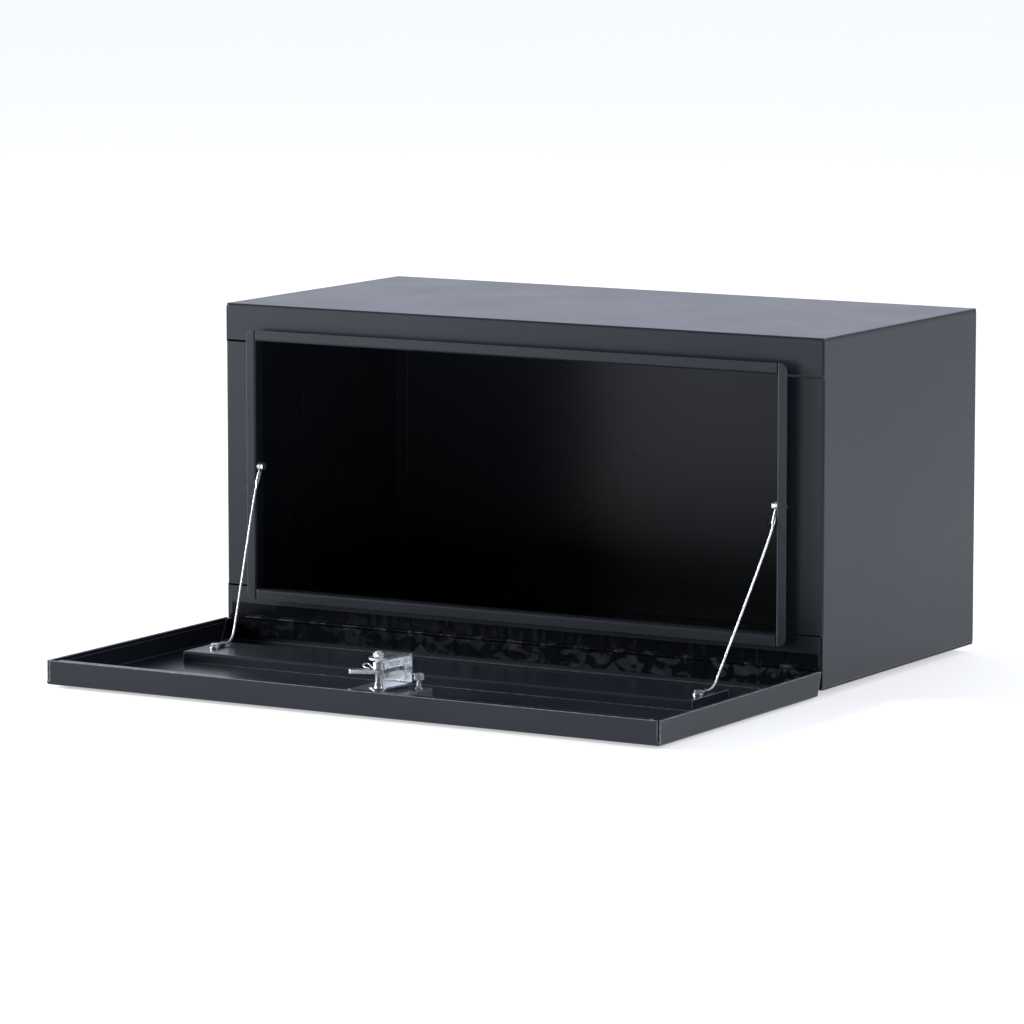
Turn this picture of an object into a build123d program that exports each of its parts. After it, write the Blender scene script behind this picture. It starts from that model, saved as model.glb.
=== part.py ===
"""Drop-door tool box for a truck, standing with its door open on two cables.

The origin is the centre of the body's bottom face. +X runs along the length, +Y points to the back
and +Z points up. Every length is in millimetres.
"""

from build123d import *
from math import atan2, cos, hypot, pi, radians, sin, tan
import os

# ---------------------------------------------------------------- body
BODY_WIDTH = 914.4
BODY_DEPTH = 447.0
BODY_HEIGHT = 457.2
SHEET = 1.9
BEND = 1.4
HALF_WIDTH = BODY_WIDTH / 2
FRONT = -BODY_DEPTH / 2
BACK = BODY_DEPTH / 2

SEAM_FLANGE = 18.0
TOP_SHEET_INSET = 1.4
STRIP_HALF_WIDTH = 453.8
SIDE_EDGE_SETBACK = 1.2

OPENING_HALF_WIDTH = 398.2
OPENING_BOTTOM = 71.0
OPENING_TOP = 409.5
LIP_FORWARD = 18.3
LIP_WIDTH = 14.4
LIP_CORNER = 10.0
COLLAR_SEAM = 0.3
STRIP_BOTTOM_EDGE = 69.5
HEADER_BOTTOM_EDGE = 408.0
SIDE_FLANGE_GAP = 3.0

# ---------------------------------------------------------------- hinge
PIN_FORWARD = 3.0
PIN_HEIGHT = 28.5
PIN_RADIUS = 1.5
BARREL_RADIUS = 3.0
PIN_CLEARANCE = 0.05
HINGE_HALF_LENGTH = 449.0
KNUCKLE_COUNT = 35
KNUCKLE_GAP = 0.5
LEAF = 1.5
BOX_LEAF_TOP = 47.5
DOOR_LEAF_BOTTOM = 2.7
LEAF_NOTCH_X = 148.0
LEAF_NOTCH_WIDTH = 28.0
LEAF_NOTCH_DEPTH = 14.0

# ---------------------------------------------------------------- door, modelled open and level
DOOR_LENGTH = 431.5
DOOR_GAP = 1.0
DOOR_BOTTOM = -6.2
DOOR_RIM = 26.0
DOOR_HINGE_RIM = 24.8
DOOR_OUTER_BEND = 3.3
RETURN_WIDTH = 11.0
RETURN_END = 16.0
CORNER_SEAM = 2.6
SIDE_RIM_SETBACK = 1.2
SIDE_RIM_TOP_END = 2.5
SIDE_RIM_FOOT_END = 13.0
CORNER_CUT = 5.0
LAP_X = 450.6
LAP_TOP_END = 15.0
LAP_FOOT_END = 28.0
LAP_FOOT = -4.0
HEM_DEPTH = 6.0
HEM_END = 6.0
SKIN_TOP = DOOR_BOTTOM + SHEET

STIFFENER_LEFT = -399.0
STIFFENER_RIGHT = 374.0
STIFFENER_END_GAP = 1.0
STIFFENER_NEAR = 99.0
STIFFENER_FAR = 197.0
STIFFENER_TOP = 10.0

BRACKET_HALF = 46.0
BRACKET_NEAR = 291.0
BRACKET_TOP = 11.7

# ---------------------------------------------------------------- latch
SPINDLE_X = 3.0
SPINDLE_REACH = 352.0
SPINDLE_RADIUS = 4.5
SPINDLE_TOP = 64.4
TURN_CLEARANCE = 0.06
FRAME_SHEET = 2.5
FRAME_BOTTOM = 16.0
SPACER_RADIUS = 9.0
FRAME_PLATE_REACH = 300.0
FRAME_LEFT = -28.0
FRAME_RIGHT = 22.5
FRAME_TOP = 56.5
FRAME_NOSE = 13.0
SPINDLE_NUT_FLATS = 14.0
SPINDLE_NUT_HEIGHT = 5.6
COLLAR_RADIUS = 5.6
COLLAR_TOP = 23.5
ARM_BOTTOM = 36.0
ARM_TOP = 41.2
ARM_LENGTH = 38.5
ARM_TIP_RADIUS = 5.0
ARM_HUB_RADIUS = 9.0
ARM_REST_ANGLE = 210.0
TAIL_LENGTH = 42.5
TAIL_ANGLE = 78.0
TAIL_WIDTH = 7.0
TAIL_DROP = 7.0
SPRING_WIRE = 1.0
SPRING_RADIUS = 6.5
SPRING_TURNS = 5
STOP_X = 34.0
STOP_REACH = 304.0
STOP_RADIUS = 3.0
STOP_NUT_BOTTOM = 23.0
STOP_NUT_HEIGHT = 8.6
STOP_HEAD_HEIGHT = 4.0

# ---------------------------------------------------------------- handle dish in the outside of the door
DISH_RADIUS = 40.8
DISH_RIM_RADIUS = 53.0
DISH_SHEET = 1.2
DISH_TOP = 9.3
GASKET = 0.8
DISH_HOLE_RADIUS = 41.3
DISH_SCREW_CIRCLE = 47.3
DISH_SCREW_RADIUS = 2.0
DISH_SPINDLE_HOLE = 6.0
HANDLE_BOTTOM = -3.5
HANDLE_TOP = 4.5
HANDLE_PIVOT = 0.5
TONGUE_HALF = 2.5
TONGUE_RADIUS = 3.6
CHEEK_GAP = 0.3
STEM_HALF = 7.0
STEM_START = 4.9
CHEEK_RADIUS = 4.0
BAR_HALF = 24.0
BAR_NEAR = 20.0
BAR_FAR = 30.0
HANDLE_PIN_RADIUS = 1.5
PLUG_RADIUS = 4.6
PLUG_REACH = 12.0
PLUG_DEPTH = 5.0
KEY_SLOT = (1.2, 5.4, 3.0)

# ---------------------------------------------------------------- cables
CABLE_RADIUS = 1.5
ANCHOR_FORWARD = 9.8
ANCHOR_HEIGHT = 238.5
ANCHOR_BOLT_RADIUS = 3.0
ANCHOR_BOLT_END = 409.0
ANCHOR_HEAD_INNER = 389.6
ANCHOR_HEAD_HEIGHT = 4.2
EYE_THICKNESS = 2.2
EYE_GAP = 0.3
EYE_RADIUS = 6.2
EYE_SLEEVE_START = 6.0
SLEEVE_LENGTH = 20.0
SLEEVE_RADIUS = 2.7
WASHER_RADIUS = 6.4
BOLT_FLATS = 10.0
NUT_HEIGHT = 5.0
RIGHT_LUG_X = 361.0
LEFT_LUG_X = 375.0
LUG_REACH = 158.0
LUG_THICKNESS = 1.6
LUG_RADIUS = 7.0
LUG_SLEEVE_START = 7.5
LUG_SLEEVE_LENGTH = 15.0
LUG_SLEEVE_HEIGHT = 12.4
LUG_HEAD_HEIGHT = 4.0
LUG_WASHER = 1.0
BEND_TOP_INWARD = 1.8
BEND_TOP_REACH = 106.5
BEND_TOP_HEIGHT = 29.0
BEND_MIDDLE = (7.5, 18.3)
BEND_LENGTH = 18.0
STRAIGHT_START = 16.0


# ---------------------------------------------------------------- helpers
def block(x, y, z):
    """Box between two values on each axis."""
    size = [abs(high - low) for low, high in (x, y, z)]
    middle = [(low + high) / 2 for low, high in (x, y, z)]
    return Pos(*middle) * Box(*size)


def along(axis, start, end, radius, centre):
    """Round bar along an axis, from start to end, about a centre given on the two other axes."""
    turn = {"X": Rot(0, 90, 0), "Y": Rot(-90, 0, 0), "Z": Rot(0, 0, 0)}[axis]
    middle = (start + end) / 2
    place = {
        "X": (middle, centre[0], centre[1]),
        "Y": (centre[0], middle, centre[1]),
        "Z": (centre[0], centre[1], middle),
    }[axis]
    return Pos(*place) * turn * Cylinder(radius, abs(end - start))


def hexagon(axis, start, end, flats, centre):
    """Hexagonal prism with its corners chamfered by a cone-like round, as a nut or a bolt head."""
    turn = {"X": Rot(0, 90, 0), "Z": Rot(0, 0, 0)}[axis]
    low = min(start, end)
    place = {"X": (low, centre[0], centre[1]), "Z": (centre[0], centre[1], low)}[axis]
    height = abs(end - start)
    prism = extrude(RegularPolygon(flats / 2, 6, major_radius=False), height)
    round_blank = Cylinder(flats * 0.56, height, align=(Align.CENTER, Align.CENTER, Align.MIN))
    round_blank = chamfer(round_blank.edges().filter_by(GeomType.CIRCLE), flats * 0.07)
    return Pos(*place) * turn * (prism & round_blank)


def shifted(points, distance):
    """Open outline moved to the left of its direction by a distance, with mitred corners."""
    moved = []
    for i, (u, v) in enumerate(points):
        normals = []
        for start, end in ((i - 1, i), (i, i + 1)):
            if start >= 0 and end < len(points):
                du = points[end][0] - points[start][0]
                dv = points[end][1] - points[start][1]
                length = hypot(du, dv)
                normals.append((-dv / length, du / length))
        nu = sum(n[0] for n in normals)
        nv = sum(n[1] for n in normals)
        scale = len(normals) * distance / (nu * nu + nv * nv)
        moved.append((u + nu * scale, v + nv * scale))
    return moved


def folded(points, thickness, bend, plane, start, end):
    """Folded sheet: one face follows the points, the metal lies to their left (right if negative)."""
    others = shifted(points, thickness)
    outline = [*points, *reversed(others)]
    radii = [0.0]
    for i in range(1, len(points) - 1):
        ahead = (points[i + 1][0] - points[i][0], points[i + 1][1] - points[i][1])
        behind = (points[i][0] - points[i - 1][0], points[i][1] - points[i - 1][1])
        turns_left = behind[0] * ahead[1] - behind[1] * ahead[0] > 0
        metal_inside = turns_left == (thickness > 0)
        radii.append(bend + abs(thickness) if metal_inside else bend)
    radii.append(0.0)
    other_radii = [2 * bend + abs(thickness) - r if r else 0.0 for r in radii]
    line = FilletPolyline(*outline, radius=[*radii, *reversed(other_radii)], close=True)
    face = plane.from_local_coords(make_face(line))
    length = end - start
    moved = Pos(*(plane.z_dir * start)) * face
    return extrude(moved, length, dir=plane.z_dir)


# X along the normal, local axes are (Y, Z); Z along the normal, local axes are (X, Y)
SECTION_YZ = Plane(origin=(0, 0, 0), x_dir=(0, 1, 0), z_dir=(1, 0, 0))
SECTION_XY = Plane.XY
SECTION_XZ = Plane(origin=(0, 0, 0), x_dir=(1, 0, 0), z_dir=(0, -1, 0))


def mirrored(shape):
    return mirror(shape, Plane.YZ)


# ---------------------------------------------------------------- body panels
def strip_panel(opening, outer, plain_edge, up):
    """Top or bottom panel: flat sheet, front strip, collar wall and lip, folded from one sheet.

    up is +1 when the strip's lip turns up (top panel) and -1 when it turns down (bottom panel).
    """
    lip_face = FRONT - LIP_FORWARD
    sheet_edge = HALF_WIDTH - TOP_SHEET_INSET
    wall_outside = opening + up * SHEET
    flat = [(BACK, outer), (FRONT, outer), (FRONT, outer - up * 30)]
    sheet = folded(flat, up * SHEET, BEND, SECTION_YZ, -sheet_edge, sheet_edge)
    # the strip is a little narrower than the sheet it hangs from
    for side in (-1, 1):
        ends = (side * STRIP_HALF_WIDTH, side * (sheet_edge + 1))
        tall = (outer - up * SHEET, outer - up * 40)
        sheet -= block(ends, (FRONT - 1, FRONT + SHEET + BEND), tall)
    low, high = sorted((plain_edge, outer - up * 29))
    strip = block((-STRIP_HALF_WIDTH, STRIP_HALF_WIDTH), (FRONT, FRONT + SHEET), (low, high))
    half = OPENING_HALF_WIDTH - COLLAR_SEAM
    strip -= block((-half, half), (FRONT - 1, FRONT + SHEET + 1), (plain_edge - up, opening + up * 8))
    collar_line = [
        (FRONT, opening + up * 9),
        (FRONT, wall_outside),
        (lip_face + SHEET, wall_outside),
        (lip_face + SHEET, opening + up * LIP_WIDTH),
    ]
    collar = folded(collar_line, up * SHEET, BEND, SECTION_YZ, -half, half)
    return sheet + strip + collar


def side_panel():
    """Right side panel: side sheet with seam flanges, front flange, collar wall and lip."""
    lip_face = FRONT - LIP_FORWARD
    wall_outside = OPENING_HALF_WIDTH + SHEET
    sheet_low = SHEET
    sheet_high = BODY_HEIGHT - SHEET
    # the sheet with a flange under the top sheet and one on the bottom sheet
    seam = [
        (HALF_WIDTH - SEAM_FLANGE, sheet_low),
        (HALF_WIDTH, sheet_low),
        (HALF_WIDTH, sheet_high),
        (HALF_WIDTH - SEAM_FLANGE, sheet_high),
    ]
    front_edge = FRONT + SIDE_EDGE_SETBACK
    sheet = folded(seam, SHEET, BEND, SECTION_XZ, -(BACK - SHEET), -front_edge)
    flange_start = FRONT + 12
    for z in ((sheet_low, sheet_low + SHEET), (sheet_high - SHEET, sheet_high)):
        flange_x = (HALF_WIDTH - SEAM_FLANGE - 1, HALF_WIDTH - SHEET - BEND)
        sheet -= block(flange_x, (front_edge - 1, flange_start), z)
    back_flange = block(
        (HALF_WIDTH - SEAM_FLANGE, HALF_WIDTH - SHEET),
        (BACK - 2 * SHEET, BACK - SHEET),
        (sheet_low + SHEET, sheet_high - SHEET),
    )
    flange_low = STRIP_BOTTOM_EDGE + SIDE_FLANGE_GAP
    flange_high = HEADER_BOTTOM_EDGE - SIDE_FLANGE_GAP
    sheet -= block((HALF_WIDTH - 6, HALF_WIDTH + 1), (FRONT - 1, FRONT + 6), (flange_low, flange_high))
    front_line = [
        (HALF_WIDTH, FRONT + 7),
        (HALF_WIDTH, FRONT),
        (wall_outside, FRONT),
        (wall_outside, lip_face + SHEET),
        (OPENING_HALF_WIDTH + LIP_WIDTH, lip_face + SHEET),
    ]
    lip_low = OPENING_BOTTOM - LIP_WIDTH
    lip_high = OPENING_TOP + LIP_WIDTH
    front = folded(front_line, -SHEET, BEND, SECTION_XY, lip_low, lip_high)
    wall_low = OPENING_BOTTOM - SHEET
    wall_high = OPENING_TOP + SHEET
    for z in ((lip_low - 1, flange_low), (flange_high, lip_high + 1)):
        front -= block((wall_outside, HALF_WIDTH + 1), (FRONT - BEND - 1, FRONT + 8), z)
        front -= block((OPENING_HALF_WIDTH - 1, HALF_WIDTH + 1), (FRONT, FRONT + 8), z)
    for z in ((lip_low - 1, wall_low), (wall_high, lip_high + 1)):
        front -= block(
            (OPENING_HALF_WIDTH - 1, wall_outside + BEND), (lip_face + SHEET, FRONT + 8), z
        )
    for z, inward in ((lip_low, 1), (lip_high, -1)):
        front -= corner_waste(OPENING_HALF_WIDTH + LIP_WIDTH, z, inward, lip_face)
    return sheet + back_flange + front


def corner_waste(x, z, inward, y):
    """What is cut off a lip's outer corner to round it."""
    centre = (x - LIP_CORNER, z + inward * LIP_CORNER)
    square = block((centre[0], x + 1), (y - 1, y + SHEET + 1), (centre[1], z - inward))
    return square - along("Y", y - 2, y + SHEET + 2, LIP_CORNER, centre)


def back_panel():
    half = HALF_WIDTH - TOP_SHEET_INSET
    return block((-half, half), (BACK - SHEET, BACK), (SHEET, BODY_HEIGHT - SHEET))


# ---------------------------------------------------------------- hinge
PIN_Y = FRONT - PIN_FORWARD
KNUCKLE = 2 * HINGE_HALF_LENGTH / KNUCKLE_COUNT


def knuckles(first):
    """Every second knuckle of the barrel, as spans along X."""
    spans = []
    for i in range(first, KNUCKLE_COUNT, 2):
        start = -HINGE_HALF_LENGTH + i * KNUCKLE
        spans.append((start + KNUCKLE_GAP / 2, start + KNUCKLE - KNUCKLE_GAP / 2))
    return spans


def hinge_leaf(plate, first, tab):
    """Leaf plate with its own knuckles; tab gives the Y and Z spans that tie a knuckle to the plate."""
    leaf = plate
    for span in knuckles(first):
        leaf += block(span, *tab) + along("X", *span, BARREL_RADIUS, (PIN_Y, PIN_HEIGHT))
    bore = along("X", -HALF_WIDTH, HALF_WIDTH, PIN_RADIUS + PIN_CLEARANCE, (PIN_Y, PIN_HEIGHT))
    return leaf - bore


def hinge_box_leaf():
    half = HINGE_HALF_LENGTH
    clear = PIN_HEIGHT + BARREL_RADIUS + 0.7
    plate = block((-half, half), (FRONT - LEAF, FRONT), (clear, BOX_LEAF_TOP))
    tab = ((FRONT - LEAF, FRONT), (PIN_HEIGHT, clear + 0.5))
    return hinge_leaf(plate, 0, tab)


def hinge_door_leaf():
    half = HINGE_HALF_LENGTH
    clear = PIN_HEIGHT - BARREL_RADIUS - 0.6
    face = FRONT - DOOR_GAP - SHEET
    plate = block((-half, half), (face - LEAF, face), (DOOR_LEAF_BOTTOM, clear))
    for x in (-LEAF_NOTCH_X, LEAF_NOTCH_X):
        corners = [
            (x - LEAF_NOTCH_WIDTH / 2, DOOR_LEAF_BOTTOM - 1),
            (x + LEAF_NOTCH_WIDTH / 2, DOOR_LEAF_BOTTOM - 1),
            (x, DOOR_LEAF_BOTTOM + LEAF_NOTCH_DEPTH),
        ]
        notch = make_face(Polyline(*corners, close=True))
        notch = SECTION_XZ.from_local_coords(notch)
        plate -= extrude(Pos(0, face + 1, 0) * notch, LEAF + 2, dir=(0, -1, 0))
    tab = ((face - LEAF, face), (clear - 0.5, PIN_HEIGHT))
    return hinge_leaf(plate, 1, tab)


def hinge_pin():
    half = HINGE_HALF_LENGTH
    pin = along("X", -half - 0.6, half + 0.6, PIN_RADIUS, (PIN_Y, PIN_HEIGHT))
    for side in (-1, 1):
        pin += along("X", side * (half + 0.3), side * (half + 1.6), 2.4, (PIN_Y, PIN_HEIGHT))
    return pin


# ---------------------------------------------------------------- door
def door_y(reach):
    """Y of a point of the open door that lies a distance in front of the body's face."""
    return FRONT - reach


SPINDLE_AT = (SPINDLE_X, door_y(SPINDLE_REACH))


def door_pan():
    """Shallow pan: skin with four rims, an inward return on the free rim and open corner seams."""
    near = door_y(DOOR_GAP)
    far = door_y(DOOR_LENGTH)
    outer = block((-HALF_WIDTH, HALF_WIDTH), (far, near), (DOOR_BOTTOM, DOOR_RIM))
    outer = fillet(outer.faces().sort_by(Axis.Z)[0].edges(), DOOR_OUTER_BEND)
    inner = block(
        (-HALF_WIDTH + SHEET, HALF_WIDTH - SHEET),
        (far + SHEET, near - SHEET),
        (SKIN_TOP, DOOR_RIM + 5),
    )
    inner = fillet(inner.faces().sort_by(Axis.Z)[0].edges(), DOOR_OUTER_BEND - SHEET)
    pan = outer - inner
    return_half = HALF_WIDTH - RETURN_END
    return_tall = (DOOR_RIM - SHEET, DOOR_RIM)
    pan += block((-return_half, return_half), (far + 1, far + RETURN_WIDTH), return_tall)
    # the hinge-side rim stops below the barrel; the side rims stop short of it on a slant, with
    # their edges hemmed, and a tab folded from its end stands inside each of them
    full = (-HALF_WIDTH - 1, HALF_WIDTH + 1)
    pan -= block(full, (near - SHEET - 1, near + 1), (DOOR_HINGE_RIM, DOOR_RIM + 1))
    foot = SKIN_TOP - SHEET
    for side in (-1, 1):
        slant = [
            (door_y(SIDE_RIM_FOOT_END), foot),
            (near + 1, foot),
            (near + 1, DOOR_RIM + 1),
            (door_y(SIDE_RIM_TOP_END), DOOR_RIM + 1),
        ]
        waste = SECTION_YZ.from_local_coords(make_face(Polyline(*slant, close=True)))
        cut = CORNER_CUT + 1
        waste = extrude(waste, cut, dir=(1, 0, 0))
        pan -= Pos(side * (HALF_WIDTH + 1 - cut / 2) - cut / 2, 0, 0) * waste
        lap = [
            (door_y(LAP_FOOT_END), LAP_FOOT),
            (near - SHEET / 2, LAP_FOOT),
            (near - SHEET / 2, DOOR_HINGE_RIM),
            (door_y(LAP_TOP_END), DOOR_HINGE_RIM),
        ]
        tab = SECTION_YZ.from_local_coords(make_face(Polyline(*lap, close=True)))
        tab = extrude(tab, SHEET, dir=(1, 0, 0))
        pan += Pos(side * LAP_X - SHEET / 2, 0, 0) * tab
        hem_x = sorted((side * (HALF_WIDTH - SHEET / 2), side * (HALF_WIDTH - 2 * SHEET)))
        hem_y = (far + RETURN_WIDTH / 2, door_y(HEM_END))
        pan += block(hem_x, hem_y, (DOOR_RIM - HEM_DEPTH, DOOR_RIM))
        seam_x = side * (HALF_WIDTH - SHEET - CORNER_SEAM / 2)
        seam_z = (SKIN_TOP + DOOR_OUTER_BEND, DOOR_RIM + 1)
        seam_ends = (seam_x - CORNER_SEAM / 2, seam_x + CORNER_SEAM / 2)
        pan -= block(seam_ends, (far - 1, far + SHEET + 0.3), seam_z)
        pan -= block((seam_x, side * (HALF_WIDTH + 1)), (far - 1, far + SIDE_RIM_SETBACK), seam_z)
    pan -= along("Z", DOOR_BOTTOM - 1, SKIN_TOP + 1, DISH_HOLE_RADIUS, SPINDLE_AT)
    for x, y in dish_screw_places():
        pan -= along("Z", DOOR_BOTTOM - 1, SKIN_TOP + 1, DISH_SCREW_RADIUS + 0.3, (x, y))
    return pan


def door_stiffener():
    near = door_y(STIFFENER_NEAR)
    far = door_y(STIFFENER_FAR)
    line = [(far, SKIN_TOP), (far, STIFFENER_TOP), (near, STIFFENER_TOP), (near, SKIN_TOP)]
    channel = folded(line, -SHEET, BEND, SECTION_YZ, STIFFENER_LEFT, STIFFENER_RIGHT)
    end_y = (far + SHEET / 2, near - SHEET / 2)
    end_z = (SKIN_TOP + STIFFENER_END_GAP, STIFFENER_TOP - SHEET / 2)
    for end in ((STIFFENER_LEFT, STIFFENER_LEFT + SHEET), (STIFFENER_RIGHT - SHEET, STIFFENER_RIGHT)):
        channel += block(end, end_y, end_z)
    for x in (-LEFT_LUG_X, RIGHT_LUG_X):
        channel -= along("Z", SKIN_TOP, STIFFENER_TOP + 1, ANCHOR_BOLT_RADIUS, (x, door_y(LUG_REACH)))
    return channel


def latch_bracket():
    near = door_y(BRACKET_NEAR)
    far = door_y(DOOR_LENGTH - SHEET)
    line = [
        (-BRACKET_HALF, SKIN_TOP),
        (-BRACKET_HALF, BRACKET_TOP),
        (BRACKET_HALF, BRACKET_TOP),
        (BRACKET_HALF, SKIN_TOP),
    ]
    hat = folded(line, -SHEET, BEND, SECTION_XZ, -near, -far)
    # the walls' feet clear the bend between the skin and the free rim
    foot_bend = DOOR_OUTER_BEND - SHEET
    foot_y = (far - 1, far + foot_bend + 0.1)
    hat -= block((-BRACKET_HALF - 1, BRACKET_HALF + 1), foot_y, (SKIN_TOP - 1, SKIN_TOP + foot_bend))
    hat -= along("Z", 0, BRACKET_TOP + 1, DISH_SPINDLE_HOLE, SPINDLE_AT)
    hat -= along("Z", 0, BRACKET_TOP + 1, STOP_RADIUS, (STOP_X, door_y(STOP_REACH)))
    return hat


# ---------------------------------------------------------------- latch inside the door
def tapered_flange(low, high, hole):
    """Flange from the full width of the upright plate to a round nose about the spindle."""
    plate_y = door_y(FRAME_PLATE_REACH)
    with BuildSketch() as outline:
        with BuildLine():
            Polyline(
                (FRAME_LEFT, plate_y),
                (FRAME_RIGHT, plate_y),
                (SPINDLE_AT[0] + FRAME_NOSE, SPINDLE_AT[1] + 2),
                (SPINDLE_AT[0] - FRAME_NOSE, SPINDLE_AT[1] + 2),
                close=True,
            )
        make_face()
        with Locations(SPINDLE_AT):
            Circle(FRAME_NOSE)
            Circle(hole, mode=Mode.SUBTRACT)
    return extrude(Pos(0, 0, low) * outline.sketch, high - low)


def latch_frame():
    """C-shaped frame: foot on a spacer, upright plate behind, flange over the spindle's end."""
    plate_y = door_y(FRAME_PLATE_REACH)
    foot_top = FRAME_BOTTOM + FRAME_SHEET
    bend = 1.5
    line = [
        (plate_y - 6, FRAME_BOTTOM),
        (plate_y, FRAME_BOTTOM),
        (plate_y, FRAME_TOP),
        (plate_y - 6, FRAME_TOP),
    ]
    upright = folded(line, FRAME_SHEET, bend, SECTION_YZ, FRAME_LEFT, FRAME_RIGHT)
    hole = SPINDLE_RADIUS + TURN_CLEARANCE
    keep = block((FRAME_LEFT - 1, FRAME_RIGHT + 1), (plate_y - 90, plate_y - 5.5), (0, FRAME_TOP + 1))
    foot = tapered_flange(FRAME_BOTTOM, foot_top, hole) & keep
    flange = tapered_flange(FRAME_TOP - FRAME_SHEET, FRAME_TOP, hole) & keep
    slope = tapered_flange(FRAME_BOTTOM, FRAME_TOP, hole)
    plate_part = block((FRAME_LEFT, FRAME_RIGHT), (plate_y - 3.5, plate_y), (0, FRAME_TOP))
    upright = upright & (slope + plate_part)
    return upright + foot + flange


def frame_spacer():
    spacer = along("Z", BRACKET_TOP, FRAME_BOTTOM, SPACER_RADIUS, SPINDLE_AT)
    return spacer - along("Z", 0, FRAME_BOTTOM + 1, SPINDLE_RADIUS + TURN_CLEARANCE, SPINDLE_AT)


def spindle_collar():
    foot_top = FRAME_BOTTOM + FRAME_SHEET
    collar = along("Z", foot_top, COLLAR_TOP, COLLAR_RADIUS, SPINDLE_AT)
    return collar - along("Z", 0, COLLAR_TOP + 1, SPINDLE_RADIUS + TURN_CLEARANCE, SPINDLE_AT)


def spindle():
    """Turning shaft with a flat tongue in the dish for the handle's pin."""
    x, y = SPINDLE_AT
    shaft = along("Z", HANDLE_TOP + 0.6, SPINDLE_TOP, SPINDLE_RADIUS, SPINDLE_AT)
    shaft = chamfer(shaft.edges().filter_by(GeomType.CIRCLE).sort_by(Axis.Z)[-1], 0.8)
    sides = (x - TONGUE_HALF, x + TONGUE_HALF)
    ends = (y - TONGUE_RADIUS, y + TONGUE_RADIUS)
    tongue = block(sides, ends, (HANDLE_PIVOT, HANDLE_TOP + 1.6))
    tongue += along("X", *sides, TONGUE_RADIUS, (y, HANDLE_PIVOT))
    hole_radius = HANDLE_PIN_RADIUS + TURN_CLEARANCE
    pin_hole = along("X", sides[0] - 1, sides[1] + 1, hole_radius, (y, HANDLE_PIVOT))
    return shaft + tongue - pin_hole


def spindle_nut():
    low = FRAME_TOP + 0.4
    nut = hexagon("Z", low, low + SPINDLE_NUT_HEIGHT, SPINDLE_NUT_FLATS, SPINDLE_AT)
    return nut - along("Z", low - 1, low + 20, SPINDLE_RADIUS, SPINDLE_AT)


def polar(angle, distance):
    return (
        SPINDLE_AT[0] + distance * cos(radians(angle)),
        SPINDLE_AT[1] + distance * sin(radians(angle)),
    )


def tapered_bar(start, start_radius, end, end_radius, low, high):
    """Bar with round ends of two radii, seen from above."""
    turn = atan2(end[1] - start[1], end[0] - start[0])
    side = (-sin(turn), cos(turn))
    with BuildSketch() as outline:
        with BuildLine():
            Polyline(
                (start[0] + side[0] * start_radius, start[1] + side[1] * start_radius),
                (start[0] - side[0] * start_radius, start[1] - side[1] * start_radius),
                (end[0] - side[0] * end_radius, end[1] - side[1] * end_radius),
                (end[0] + side[0] * end_radius, end[1] + side[1] * end_radius),
                close=True,
            )
        make_face()
        with Locations(start):
            Circle(start_radius)
        with Locations(end):
            Circle(end_radius)
    return extrude(Pos(0, 0, low) * outline.sketch, high - low)


def cam_arm():
    """Arm that goes behind the header, with a tail that stops on the upright plate."""
    tip = polar(ARM_REST_ANGLE, ARM_LENGTH - ARM_TIP_RADIUS)
    tail = polar(TAIL_ANGLE, TAIL_LENGTH)
    arm = tapered_bar(SPINDLE_AT, ARM_HUB_RADIUS, tip, ARM_TIP_RADIUS, ARM_BOTTOM, ARM_TOP)
    arm += tapered_bar(SPINDLE_AT, ARM_HUB_RADIUS - 1, tail, TAIL_WIDTH / 2, ARM_BOTTOM, ARM_TOP)
    before_tail = polar(TAIL_ANGLE, TAIL_LENGTH - 0.6)
    drop_low = ARM_TOP - TAIL_DROP
    drop = tapered_bar(before_tail, TAIL_WIDTH / 2, tail, TAIL_WIDTH / 2, drop_low, ARM_TOP)
    keep = block((-60, 60), (SPINDLE_AT[1] + TAIL_LENGTH - 2, SPINDLE_AT[1] + 60), (0, 60))
    arm += drop & keep
    return arm - along("Z", 0, 60, SPINDLE_RADIUS, SPINDLE_AT)


def torsion_spring():
    """Close-wound coil round the spindle: one leg hooks over the arm, the other meets the plate."""
    wire = SPRING_WIRE
    low = ARM_TOP + 0.3 + wire
    turn = Torus(SPRING_RADIUS, wire * 0.98)
    coil = [Pos(*SPINDLE_AT, low + i * 2 * wire) * turn for i in range(SPRING_TURNS)]
    arm_leg = [
        Vector(*polar(ARM_REST_ANGLE - 95, SPRING_RADIUS), low + 4.0),
        Vector(*polar(ARM_REST_ANGLE - 47, 17), low + 4.4),
        Vector(*polar(ARM_REST_ANGLE - 28, 23), low + 3.6),
        Vector(*polar(ARM_REST_ANGLE - 8, 20), low + 1.0),
        Vector(*polar(ARM_REST_ANGLE + 8, 11), low),
    ]
    high = low + (SPRING_TURNS - 1) * 2 * wire
    plate_leg = [
        Vector(*polar(-20, SPRING_RADIUS), high),
        Vector(*polar(58, 30), high - 1),
    ]
    return coil + [wire_run(arm_leg, wire * 0.9, 3.0), wire_run(plate_leg, wire * 0.9, 3.0)]


def wire_run(points, radius, bend):
    """Round wire through a few points, with equal bends."""
    if len(points) == 2:
        path = Line(*points)
    else:
        path = FilletPolyline(*points, radius=bend)
    start = Plane(origin=points[0], z_dir=(points[1] - points[0]).normalized())
    return sweep(start * Circle(radius), path=path)


def stop_bolt():
    at = (STOP_X, door_y(STOP_REACH))
    head_top = BRACKET_TOP - SHEET
    bolt = along("Z", head_top - 1, STOP_NUT_BOTTOM + STOP_NUT_HEIGHT + 0.5, STOP_RADIUS, at)
    return bolt + hexagon("Z", head_top - STOP_HEAD_HEIGHT, head_top, BOLT_FLATS, at)


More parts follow.
